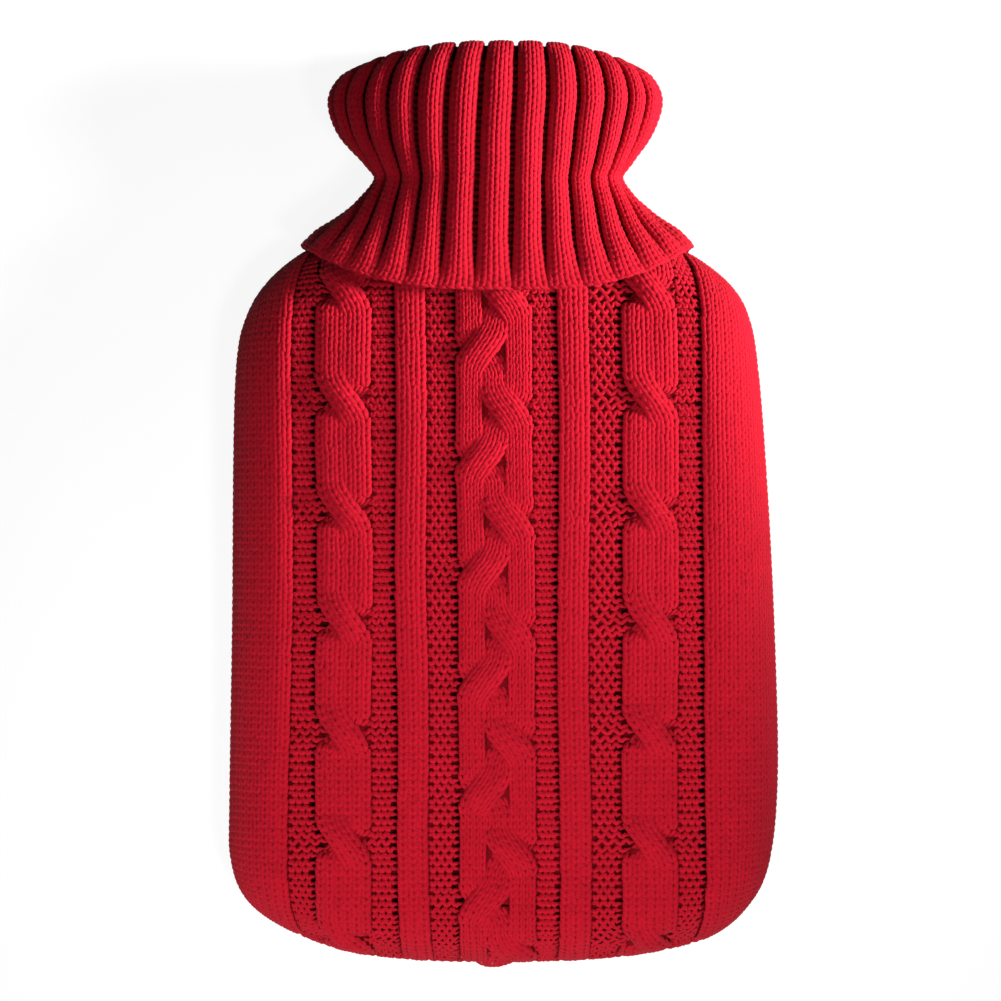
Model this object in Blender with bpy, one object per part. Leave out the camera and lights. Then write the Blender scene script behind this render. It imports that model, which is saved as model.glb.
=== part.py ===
"""Knitted hot water bottle cover, lying on its back on a flat surface.

A cable knit front panel and a plain back panel are sewn together round the sides and along the foot,
and a ribbed roll neck grows out of their shoulders and is folded over once. The cover is hollow and
keeps the plump form of the bottle that it is made for. +Y runs from the foot to the neck, +Z is the
way the front faces, and the origin is under the middle of the cover, on the surface that it lies on.
"""

import math
from typing import NamedTuple

import bpy
import numpy as np

MM = 0.001

# Cloth, in millimetres.
PANEL_THICKNESS = 3.0
NECK_THICKNESS = 2.8
LAYER_GAP = 1.4  # between the two layers of the folded neck
PIECE_GAP = 0.3  # between two pieces that are sewn to each other

# The filled body, in millimetres.
SEAM_HEIGHT = 18.0  # of the side and foot seam above the surface
FRONT_HEIGHT = 44.0  # where the front's rounded edge ends
FRONT_EDGE = 22.0  # how far the front's rounded edge reaches in from the outline
BACK_EDGE = 17.0
CROWN = 4.0  # what the middle of the front stands above FRONT_HEIGHT
NECK_JOINT_Y = 112.0  # where the panels end and the ribbed neck begins
FRONT_DROP, FRONT_DROP_START_Y, FRONT_DROP_END_Y = 9.0, 42.0, 116.0  # the front's slope to the neck
BACK_LIFT, BACK_LIFT_START_Y, BACK_LIFT_END_Y = 5.0, 44.0, 76.0  # leaves room for the hem beneath

# How finely the cloth is divided.
OUTLINE_STEPS = 8
SIDE_ROWS = 24
FOOT_COLUMNS = 16
EDGE_STEPS = 6
NECK_COLUMNS = 36
NECK_SPAN_STEPS = 2
FOLD_STEPS = 3


class OutlinePoint(NamedTuple):
    """A point of the body's outline seen from above, in millimetres."""

    x: float
    y: float


# From the neck down the left side.
LEFT_SIDE = (
    OutlinePoint(-43.0, 112.0),
    OutlinePoint(-46.5, 106.5),
    OutlinePoint(-58.0, 101.5),
    OutlinePoint(-75.5, 92.5),
    OutlinePoint(-88.0, 82.0),
    OutlinePoint(-95.5, 70.0),
    OutlinePoint(-99.4, 54.0),
    OutlinePoint(-100.7, 20.0),
    OutlinePoint(-101.2, -45.0),
    OutlinePoint(-102.2, -110.0),
    OutlinePoint(-101.8, -134.0),
)
# From the left corner round the foot to the right corner.
FOOT = (
    OutlinePoint(-95.5, -149.5),
    OutlinePoint(-80.0, -160.5),
    OutlinePoint(-58.0, -168.5),
    OutlinePoint(-30.0, -171.8),
    OutlinePoint(0.0, -172.4),
    OutlinePoint(32.0, -171.5),
    OutlinePoint(57.0, -168.5),
    OutlinePoint(77.0, -163.0),
    OutlinePoint(90.5, -152.5),
)
# Up the right side to the neck.
RIGHT_SIDE = (
    OutlinePoint(99.0, -136.0),
    OutlinePoint(102.3, -104.0),
    OutlinePoint(101.4, -55.0),
    OutlinePoint(98.8, 0.0),
    OutlinePoint(95.2, 48.0),
    OutlinePoint(91.5, 69.0),
    OutlinePoint(84.0, 81.5),
    OutlinePoint(69.6, 92.5),
    OutlinePoint(53.0, 101.0),
    OutlinePoint(43.5, 106.5),
    OutlinePoint(40.5, 112.0),
)


class NeckStation(NamedTuple):
    """A ring of the neck's cloth, through the middle of its thickness, in millimetres.

    The ring is as wide as it gets at side_z. Above that it rises to front, and below it falls to back.
    A roundness of 2 is an ellipse, and more is squarer.
    """

    middle_y: float  # at the middle of the front
    side_y: float  # at the sides
    left: float
    right: float
    side_z: float
    back: float
    front: float
    back_roundness: float
    front_roundness: float


# The outer layer, from its free hem up to just under the fold.
OUTER_LAYER = (
    NeckStation(78.6, 95.4, 75.2, 70.6, 18.0, 1.7, 49.4, 4.6, 3.4),
    NeckStation(84.6, 99.5, 69.8, 65.8, 18.6, 1.8, 48.8, 4.4, 3.2),
    NeckStation(98.0, 107.0, 58.2, 54.2, 20.4, 2.2, 47.6, 3.8, 2.8),
    NeckStation(117.0, 119.5, 46.6, 43.0, 22.6, 2.4, 46.4, 3.0, 2.3),
    NeckStation(125.0, 127.5, 51.0, 46.8, 23.0, 2.4, 46.6, 2.9, 2.3),
    NeckStation(137.0, 138.0, 60.2, 54.0, 23.0, 2.4, 46.8, 2.7, 2.3),
    NeckStation(150.0, 149.0, 63.8, 57.6, 23.0, 2.6, 46.2, 2.6, 2.3),
    NeckStation(161.0, 156.5, 60.4, 54.8, 23.0, 3.8, 44.2, 2.5, 2.3),
    NeckStation(169.2, 161.6, 53.4, 49.0, 23.0, 6.0, 41.0, 2.4, 2.3),
)
HEM_SQUARENESS = 3.0  # how late the hem's front turns towards its sides
WAIST_STATION = 3  # the station of the outer layer where the neck is narrowest
# Where the inner layer meets the panels.
NECK_JOINT = NeckStation(
    NECK_JOINT_Y + PIECE_GAP, NECK_JOINT_Y + PIECE_GAP, 41.4, 38.9, 19.6, 6.6, 36.8, 3.0, 2.4
)

YARN_RED = (0.50, 0.012, 0.030, 1.0)
YARN_ROUGHNESS = 0.85


def clear_scene():
    """Removes every object of the open file."""
    for item in list(bpy.data.objects):
        bpy.data.objects.remove(item)


def yarn_material(name):
    """The red yarn of one piece."""
    material = bpy.data.materials.new(name)
    material.use_nodes = True
    shader = material.node_tree.nodes["Principled BSDF"]
    shader.inputs["Base Color"].default_value = YARN_RED
    shader.inputs["Roughness"].default_value = YARN_ROUGHNESS
    shader.inputs["Metallic"].default_value = 0.0
    return material


def smooth_line(points, steps):
    """Points along a smooth curve through the given ones, with that many steps for each span."""
    known = np.array(points, float)
    ends = (2 * known[0] - known[1], 2 * known[-1] - known[-2])
    padded = np.vstack([ends[0], known, ends[1]])
    share = np.linspace(0, 1, steps, endpoint=False)[:, None]
    line = []
    for before, start, end, after in zip(padded, padded[1:], padded[2:], padded[3:]):
        line.append(
            start
            + 0.5 * share * (end - before)
            + share**2 * (before - 2.5 * start + 2 * end - 0.5 * after)
            + 0.5 * share**3 * (after - 3 * end + 3 * start - before)
        )
    return np.vstack([*line, known[-1]])


def resampled(line, count):
    """That many rows, evenly spaced along a line whose first two columns are its x and y."""
    lengths = np.linalg.norm(np.diff(line[:, :2], axis=0), axis=1)
    along = np.concatenate([[0], np.cumsum(lengths)])
    wanted = np.linspace(0, along[-1], count)
    return np.stack([np.interp(wanted, along, column) for column in line.T], axis=1)


def ease(value, start, end):
    """0 before start, 1 after end, and a smooth step between them."""
    share = np.clip((value - start) / (end - start), 0, 1)
    return share * share * (3 - 2 * share)


def body_edge():
    """The outline from the neck round the foot and back, as points and their inward normals."""
    line = smooth_line(LEFT_SIDE + FOOT + RIGHT_SIDE, OUTLINE_STEPS)
    forward = np.gradient(line, axis=0)
    normals = np.stack([-forward[:, 1], forward[:, 0]], axis=1)
    # The neck runs straight up where the panels end, so that their ends are level.
    normals[0] = (1, 0)
    normals[-1] = (-1, 0)
    normals /= np.linalg.norm(normals, axis=1)[:, None]
    edge = np.hstack([line, normals])
    foot_start = OUTLINE_STEPS * (len(LEFT_SIDE) - 1)
    foot_end = OUTLINE_STEPS * (len(LEFT_SIDE) + len(FOOT))
    left = resampled(edge[: foot_start + 1], SIDE_ROWS)
    foot = resampled(edge[foot_start : foot_end + 1], FOOT_COLUMNS)
    right = resampled(edge[foot_end:], SIDE_ROWS)
    edge = np.vstack([left, foot[1:-1], right])
    return edge[:, :2], edge[:, 2:] / np.linalg.norm(edge[:, 2:], axis=1)[:, None]


def filled(edge):
    """A grid of points across the space inside an edge, rows by columns, from the foot up."""
    left = edge[:SIDE_ROWS][::-1]
    foot = edge[SIDE_ROWS - 1 : SIDE_ROWS - 1 + FOOT_COLUMNS]
    right = edge[-SIDE_ROWS:]
    top = np.linspace(left[-1], right[-1], FOOT_COLUMNS)
    across = np.linspace(0, 1, FOOT_COLUMNS)[None, :, None]
    up = np.linspace(0, 1, SIDE_ROWS)[:, None, None]
    sides = (1 - across) * left[:, None] + across * right[:, None]
    ends = (1 - up) * foot[None] + up * top[None]
    corners = (1 - up) * ((1 - across) * foot[0] + across * foot[-1])
    corners = corners + up * ((1 - across) * top[0] + across * top[-1])
    return sides + ends - corners


def flat_level(y, faces_up):
    """The height of the panel where its rounded edge ends, at that distance along the cover."""
    if faces_up:
        return FRONT_HEIGHT - FRONT_DROP * ease(y, FRONT_DROP_START_Y, FRONT_DROP_END_Y)
    return BACK_LIFT * ease(y, BACK_LIFT_START_Y, BACK_LIFT_END_Y)


def panel_layer(reach, faces_up, inset):
    """One face of a panel: rings round its edge, and a grid across the middle, in millimetres.

    The inset is what the layer lies inside the cloth's outer face.
    """
    edge, inward = body_edge()
    seam = SEAM_HEIGHT + (PIECE_GAP if faces_up else -PIECE_GAP) / 2
    side = -1 if faces_up else 1
    rings = []
    for angle in np.linspace(0, math.pi / 2, EDGE_STEPS + 1):
        depth = reach - (reach - inset) * math.cos(angle)
        place = edge + inward * depth
        level = flat_level(edge[:, 1], faces_up) + side * inset
        rings.append(np.column_stack([place, seam + (level - seam) * math.sin(angle)]))
    grid = filled(rings[-1][:, :2])
    across = np.linspace(0, 1, FOOT_COLUMNS)[None, :]
    up = np.linspace(0, 1, SIDE_ROWS)[:, None]
    height = filled(rings[-1][:, 2:])[:, :, 0]
    level = flat_level(grid[:, :, 1], faces_up) + side * inset
    height = height + (level - height) * np.sin(math.pi * across) ** 0.5
    if faces_up:
        height = height + CROWN * np.sin(math.pi * across) * np.sin(math.pi / 2 * up**0.6)
    return rings, np.dstack([grid, height])


def neck_ring(station):
    """Points round one station of the neck, starting at its right side and passing over the front."""
    turn = np.linspace(0, 2 * math.pi, NECK_COLUMNS, endpoint=False)
    turn = turn + 0.5 * turn[1]
    front = np.sin(turn) > 0
    power = np.where(front, station.front_roundness, station.back_roundness)
    across = np.cos(turn)
    up = (1 - np.abs(across) ** power) ** (1 / power)
    half_width = np.where(across > 0, station.right, station.left)
    reach = np.where(front, station.front, station.back) - station.side_z
    along = station.middle_y + (station.side_y - station.middle_y) * np.abs(across) ** HEM_SQUARENESS
    return np.column_stack([across * half_width, along, station.side_z + up * reach])


def surface_normals(grid):
    """Unit normals of a grid that closes on itself along its second axis."""
    wrapped = np.concatenate([grid[:, -1:], grid, grid[:, :1]], axis=1)
    around = wrapped[:, 2:] - wrapped[:, :-2]
    along = np.gradient(grid, axis=0)
    normals = np.cross(along, around)
    return normals / np.linalg.norm(normals, axis=2)[:, :, None]


def neck_cloth():
    """The middle of the neck's cloth and its outward normals, station by station from its hem."""
    outer = np.array([neck_ring(NeckStation(*row)) for row in smooth_line(OUTER_LAYER, NECK_SPAN_STEPS)])
    outward = surface_normals(outer)
    step = NECK_THICKNESS + LAYER_GAP
    # Half a turn round the fold, from the outer layer to the inner one.
    upward = outer[-1] - outer[-2]
    upward -= (upward * outward[-1]).sum(1)[:, None] * outward[-1]
    upward /= np.linalg.norm(upward, axis=1)[:, None]
    turned = []
    for angle in np.linspace(0, math.pi, FOLD_STEPS + 2)[1:-1]:
        turned.append(math.cos(angle) * outward[-1] + math.sin(angle) * upward)
    fold = [outer[-1] + step / 2 * (direction - outward[-1]) for direction in turned]
    # The inner layer follows the outer one down to the neck's narrowest, and then meets the panels.
    waist = NECK_SPAN_STEPS * WAIST_STATION
    inner = (outer - step * outward)[:waist - 1:-1]
    joint = neck_ring(NECK_JOINT)
    between = (inner[-1] + joint) / 2
    middle = np.array([*outer, *fold, *inner, between, joint])
    toward_outer = surface_normals(np.array([*inner, between, joint]))
    return middle, np.array([*outward, *turned, *toward_outer])


def object_from(name, points, faces):
    """A Blender object with that name and its own yarn material."""
    mesh = bpy.data.meshes.new(name)
    mesh.from_pydata((np.asarray(points) * MM).tolist(), [], faces)
    mesh.validate()
    mesh.shade_smooth()
    mesh.materials.append(yarn_material(name + "_yarn"))
    item = bpy.data.objects.new(name, mesh)
    bpy.context.scene.collection.objects.link(item)
    return item


def layer_indices(first):
    """The point numbers of a layer's rings and of its grid, which shares the last ring's points."""
    around = 2 * SIDE_ROWS + FOOT_COLUMNS - 2
    rings = first + np.arange((EDGE_STEPS + 1) * around).reshape(EDGE_STEPS + 1, around)
    grid = np.zeros((SIDE_ROWS, FOOT_COLUMNS), int)
    grid[:, 0] = rings[-1, :SIDE_ROWS][::-1]
    grid[0] = rings[-1, SIDE_ROWS - 1 : SIDE_ROWS - 1 + FOOT_COLUMNS]
    grid[:, -1] = rings[-1, -SIDE_ROWS:]
    inside = (SIDE_ROWS - 1) * (FOOT_COLUMNS - 2)
    grid[1:, 1:-1] = rings.max() + 1 + np.arange(inside).reshape(SIDE_ROWS - 1, FOOT_COLUMNS - 2)
    return rings, grid


def quads(indices):
    """The four-sided faces between the neighbours of a table of point numbers."""
    corners = (indices[:-1, :-1], indices[:-1, 1:], indices[1:, 1:], indices[1:, :-1])
    return np.stack([corner.ravel() for corner in corners], axis=1).tolist()


def make_panel(name, reach, faces_up):
    """One panel of the body as a closed sheet."""
    points, tables, faces = [], [], []
    for inset in (0.0, PANEL_THICKNESS):
        rings, grid = panel_layer(reach, faces_up, inset)
        tables.append(layer_indices(sum(len(block) for block in points)))
        points.extend([*rings, grid[1:, 1:-1].reshape(-1, 3)])
    outside, inside = tables
    for indices in outside:
        faces.extend(quads(indices))
    for indices in inside:
        faces.extend(face[::-1] for face in quads(indices))

    def whole_rim(rings, grid):
        """The layer's rim: along the seam, then across the neck back to the start."""
        return [*rings[0], *rings[1:, -1], *grid[-1, -2:0:-1], *rings[:0:-1, 0]]

    outer_rim, inner_rim = whole_rim(*outside), whole_rim(*inside)
    for index, start in enumerate(outer_rim):
        following = (index + 1) % len(outer_rim)
        faces.append([outer_rim[following], start, inner_rim[index], inner_rim[following]])
    if not faces_up:
        faces = [face[::-1] for face in faces]
    faces = [[int(index) for index in face] for face in faces]
    return object_from(name, np.vstack(points), faces)


def make_neck():
    """The folded roll neck as one closed tube of cloth."""
    middle, normals = neck_cloth()
    shift = normals * NECK_THICKNESS / 2
    # The end that is sewn to the panels is cut square, so that it keeps clear of them.
    shift[-1, :, 1] = 0
    loop = np.concatenate([middle + shift, (middle - shift)[::-1]])
    indices = np.arange(loop.shape[0] * NECK_COLUMNS).reshape(-1, NECK_COLUMNS)
    indices = np.vstack([indices, indices[:1]])
    indices = np.hstack([indices, indices[:, :1]])[:, ::-1]
    return object_from("roll_neck", loop.reshape(-1, 3), quads(indices))


def main():
    """Builds the three knitted pieces."""
    clear_scene()
    make_panel("front_panel", FRONT_EDGE, faces_up=True)
    make_panel("back_panel", BACK_EDGE, faces_up=False)
    make_neck()


main()
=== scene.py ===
"""A red cable-knit cover for a hot water bottle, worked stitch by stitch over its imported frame.

Sizes are in millimetres unless a name says otherwise. The cover lies on its back: x runs across it,
y runs from its foot to its neck, and z is up.
"""

import logging
import math
from dataclasses import dataclass, field
from enum import Enum
from typing import Any, Callable, NamedTuple

import bpy
import numpy as np
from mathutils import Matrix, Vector


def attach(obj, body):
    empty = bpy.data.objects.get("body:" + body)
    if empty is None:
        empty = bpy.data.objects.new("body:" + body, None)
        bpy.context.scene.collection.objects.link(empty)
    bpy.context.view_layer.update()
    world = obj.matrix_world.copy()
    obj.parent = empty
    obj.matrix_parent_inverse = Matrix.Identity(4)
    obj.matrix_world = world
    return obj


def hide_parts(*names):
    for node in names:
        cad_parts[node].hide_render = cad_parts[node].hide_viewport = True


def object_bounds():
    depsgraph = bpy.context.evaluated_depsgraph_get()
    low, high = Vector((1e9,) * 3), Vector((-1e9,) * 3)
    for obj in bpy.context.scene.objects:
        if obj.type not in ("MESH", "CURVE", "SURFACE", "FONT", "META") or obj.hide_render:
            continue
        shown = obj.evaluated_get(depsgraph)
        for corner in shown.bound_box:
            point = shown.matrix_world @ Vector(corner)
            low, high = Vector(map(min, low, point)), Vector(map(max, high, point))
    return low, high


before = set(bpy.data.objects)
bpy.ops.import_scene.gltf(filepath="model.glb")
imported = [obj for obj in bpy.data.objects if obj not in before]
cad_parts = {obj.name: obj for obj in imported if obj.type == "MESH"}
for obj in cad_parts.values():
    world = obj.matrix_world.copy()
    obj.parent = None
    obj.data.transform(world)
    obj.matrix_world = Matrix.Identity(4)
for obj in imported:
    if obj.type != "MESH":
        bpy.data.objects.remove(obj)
FRAME_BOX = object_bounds()

Array = np.ndarray
MM = 0.001
WELD_DISTANCE = 0.05 * MM
BODY = "root"
log = logging.getLogger("knitted_cover")


# ---------------------------------------------------------------- shader maths


class Wire:
    """The output of a shader node, on which sums can be written."""

    def __init__(self, graph: "Graph", socket: Any) -> None:
        """Keeps the graph and the socket."""
        self.graph = graph
        self.socket = socket

    def _math(self, operation: str, first: Any, second: Any) -> "Wire":
        """One Math node on two values or wires."""
        return self.graph.node("ShaderNodeMath", {"operation": operation}, {0: first, 1: second})

    def __add__(self, other: Any) -> "Wire":
        """This plus another."""
        return self._math("ADD", self, other)

    def __radd__(self, other: Any) -> "Wire":
        """Another plus this."""
        return self._math("ADD", other, self)

    def __sub__(self, other: Any) -> "Wire":
        """This less another."""
        return self._math("SUBTRACT", self, other)

    def __rsub__(self, other: Any) -> "Wire":
        """Another less this."""
        return self._math("SUBTRACT", other, self)

    def __mul__(self, other: Any) -> "Wire":
        """This times another."""
        return self._math("MULTIPLY", self, other)

    def __rmul__(self, other: Any) -> "Wire":
        """Another times this."""
        return self._math("MULTIPLY", other, self)

    def __pow__(self, other: Any) -> "Wire":
        """This to a power."""
        return self._math("POWER", self, other)


class Graph:
    """The node tree of one material."""

    def __init__(self, name: str) -> None:
        """Makes an empty material.

        Args:
            name: the material's name.
        """
        self.material = bpy.data.materials.new(name)
        self.material.use_nodes = True
        self.tree = self.material.node_tree
        self.tree.nodes.clear()

    def node(self, kind: str, settings: dict[str, Any], sockets: dict[Any, Any], output: Any = 0) -> Wire:
        """Adds one node.

        Args:
            kind: the node's type.
            settings: properties of the node, set before its sockets.
            sockets: the value or wire of each input, by name or number.
            output: the name or number of the output that is returned.

        Returns:
            The chosen output.
        """
        made = self.tree.nodes.new(kind)
        for name, value in settings.items():
            setattr(made, name, value)
        for name, value in sockets.items():
            if isinstance(value, Wire):
                self.tree.links.new(value.socket, made.inputs[name])
            else:
                made.inputs[name].default_value = value
        return Wire(self, made.outputs[output])

    def blend(self, share: Any, first: Any, second: Any, way: str = "MIX") -> Wire:
        """Mixes two colours.

        Args:
            share: how much of the second colour there is.
            first: the first colour or wire.
            second: the second colour or wire.
            way: the way of mixing.

        Returns:
            The mixed colour.
        """
        settings = {"data_type": "RGBA", "blend_type": way}
        return self.node("ShaderNodeMix", settings, {0: share, 6: first, 7: second}, 2)

    def principled(self, sockets: dict[str, Any]) -> Wire:
        """The usual shader with the given sockets set."""
        return self.node("ShaderNodeBsdfPrincipled", {}, sockets)

    def finish(self, shader: Wire) -> bpy.types.Material:
        """Joins a shader to the material's output.

        Args:
            shader: what the surface looks like.

        Returns:
            The material.
        """
        output = self.tree.nodes.new("ShaderNodeOutputMaterial")
        self.tree.links.new(shader.socket, output.inputs["Surface"])
        return self.material


# ---------------------------------------------------------------- finishes


@dataclass(frozen=True)
class WoolYarn:
    """Soft plied acrylic and wool yarn, dyed red, with painted shade in its colour."""

    name: str
    # The lighter red is the dyed yarn fully lit; the darker red is its painted shade, blended in by the
    # shade attribute.
    painted_lit_tone: tuple[float, float, float, float] = (0.66, 0.0065, 0.026, 1.0)
    painted_shade_tone: tuple[float, float, float, float] = (0.27, 0.0025, 0.008, 1.0)
    roughness: float = 0.82
    sheen: float = 0.16
    sheen_roughness: float = 0.45
    sheen_tint: tuple[float, float, float, float] = (1.0, 0.16, 0.22, 1.0)
    ply_pitch: float = 1.5
    ply_depth: float = 0.18

    def make(self) -> bpy.types.Material:
        """Builds the material.

        Returns:
            The yarn's material.
        """
        graph = Graph(self.name)
        place = graph.node("ShaderNodeTexCoord", {}, {}, "Object")
        fibres = graph.node("ShaderNodeTexNoise", {}, {"Vector": place, "Scale": 1400.0, "Detail": 3.0})
        dye = graph.node("ShaderNodeTexNoise", {}, {"Vector": place, "Scale": 45.0, "Detail": 4.0})
        shade = graph.node("ShaderNodeAttribute", {"attribute_name": "shade"}, {}, "Fac")
        strand = graph.node("ShaderNodeUVMap", {"uv_map": "yarn"}, {})
        along = graph.node("ShaderNodeSeparateXYZ", {}, {0: strand}, 0)
        around = graph.node("ShaderNodeSeparateXYZ", {}, {0: strand}, 1)
        turns = (along * (1.0 / self.ply_pitch) + around * 0.6) * (2 * math.pi)
        ply = graph.node("ShaderNodeMath", {"operation": "SINE"}, {0: turns}) * 0.5 + 0.5
        # Painted shade: the shade attribute darkens crevices and the yarn's sides, and the ply grooves are
        # painted darker; the dye and fibre noise is the yarn's own uneven tone.
        light = shade * (0.80 + 0.22 * dye + 0.24 * fibres) - 0.14 * (1 - ply)
        red = graph.blend(light, self.painted_shade_tone, self.painted_lit_tone)
        height = ply * self.ply_depth + fibres * 0.25
        normal = graph.node("ShaderNodeBump", {}, {"Height": height, "Strength": 0.5, "Distance": 0.0006})
        shader = graph.principled(
            {
                "Base Color": red,
                "Roughness": self.roughness + 0.12 * fibres,
                "Normal": normal,
                "Sheen Weight": self.sheen,
                "Sheen Roughness": self.sheen_roughness,
                "Sheen Tint": self.sheen_tint,
                "Specular IOR Level": 0.15,
            }
        )
        return graph.finish(shader)


@dataclass(frozen=True)
class ShadedInnerKnit:
    """The cloth behind the stitches, which is seen only between them; its colour is painted shade."""

    name: str
    # Both colours are painted shade: the darker red for ground that stands nearer the stitches, the
    # near-black for deep gaps.
    raised: tuple[float, float, float, float] = (0.34, 0.004, 0.012, 1.0)
    sunk: tuple[float, float, float, float] = (0.022, 0.0008, 0.0016, 1.0)
    roughness: float = 0.95

    def make(self) -> bpy.types.Material:
        """Builds the material.

        Returns:
            The inner cloth's material.
        """
        graph = Graph(self.name)
        place = graph.node("ShaderNodeTexCoord", {}, {}, "Object")
        grain = graph.node("ShaderNodeTexNoise", {}, {"Vector": place, "Scale": 900.0, "Detail": 4.0})
        shade = graph.node("ShaderNodeAttribute", {"attribute_name": "shade"}, {}, "Fac")
        # Painted shade: the shade attribute blends from the near-black to the darker red; the grain noise
        # is the cloth's own uneven tone.
        colour = graph.blend(shade * (0.7 + 0.5 * grain), self.sunk, self.raised)
        normal = graph.node("ShaderNodeBump", {}, {"Height": grain, "Strength": 0.6, "Distance": 0.0008})
        shader = graph.principled(
            {
                "Base Color": colour,
                "Roughness": self.roughness,
                "Normal": normal,
                "Specular IOR Level": 0.1,
            }
        )
        return graph.finish(shader)


@dataclass(frozen=True)
class StudioPaper:
    """The white paper that the cover lies on."""

    name: str = "studio_paper"
    white: tuple[float, float, float, float] = (0.22, 0.22, 0.22, 1.0)
    glow: tuple[float, float, float, float] = (1.0, 1.0, 1.0, 1.0)
    glow_strength: float = 0.90

    def make(self) -> bpy.types.Material:
        """Builds the material.

        Returns:
            The paper's material.
        """
        graph = Graph(self.name)
        shader = graph.principled(
            {
                "Base Color": self.white,
                "Roughness": 0.9,
                "Specular IOR Level": 0.1,
                "Emission Color": self.glow,
                "Emission Strength": self.glow_strength,
            }
        )
        return graph.finish(shader)


# ---------------------------------------------------------------- curves and irregularity


def ease(value: Array, start: float, end: float) -> Array:
    """0 before start, 1 after end, and a smooth step between them."""
    share = np.clip((value - start) / (end - start), 0, 1)
    return share * share * (3 - 2 * share)


def smooth_line(points: Any, steps: int) -> Array:
    """Draws a smooth curve through points.

    Args:
        points: the points, one a row.
        steps: how many steps each span has.

    Returns:
        The points along the curve.
    """
    known = np.array(points, float)
    ends = (2 * known[0] - known[1], 2 * known[-1] - known[-2])
    padded = np.vstack([ends[0], known, ends[1]])
    share = np.linspace(0, 1, steps, endpoint=False)[:, None]
    line = []
    for before, start, end, after in zip(padded, padded[1:], padded[2:], padded[3:]):
        bend = before - 2.5 * start + 2 * end - 0.5 * after
        twist = 0.5 * (after - 3 * end + 3 * start - before)
        line.append(start + 0.5 * share * (end - before) + share**2 * bend + share**3 * twist)
    return np.vstack([*line, known[-1]])


def resampled(line: Array, count: int) -> Array:
    """Spaces points evenly along a line.

    Args:
        line: rows whose first two columns are x and y.
        count: how many rows are wanted.

    Returns:
        The evenly spaced rows.
    """
    lengths = np.linalg.norm(np.diff(line[:, :2], axis=0), axis=1)
    along = np.concatenate([[0], np.cumsum(lengths)])
    wanted = np.linspace(0, along[-1], count)
    return np.stack([np.interp(wanted, along, column) for column in line.T], axis=1)


@dataclass(frozen=True)
class Ripple:
    """A gentle irregularity, the same on every run."""

    seed: int
    wavelength: float
    height: float
    waves: int = 5

    def __call__(self, u: Array, v: Array) -> Array:
        """Finds the irregularity.

        Args:
            u: places across the cloth.
            v: places along it.

        Returns:
            The height of the ripple at each place.
        """
        chance = np.random.default_rng(self.seed)
        total = 0.0
        for _ in range(self.waves):
            turn, phase = chance.uniform(0, 2 * math.pi, 2)
            length = self.wavelength * chance.uniform(0.7, 1.6)
            total = total + np.sin(2 * math.pi * (u * math.cos(turn) + v * math.sin(turn)) / length + phase)
        return self.height * total / math.sqrt(self.waves)


# ---------------------------------------------------------------- meshes


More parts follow.
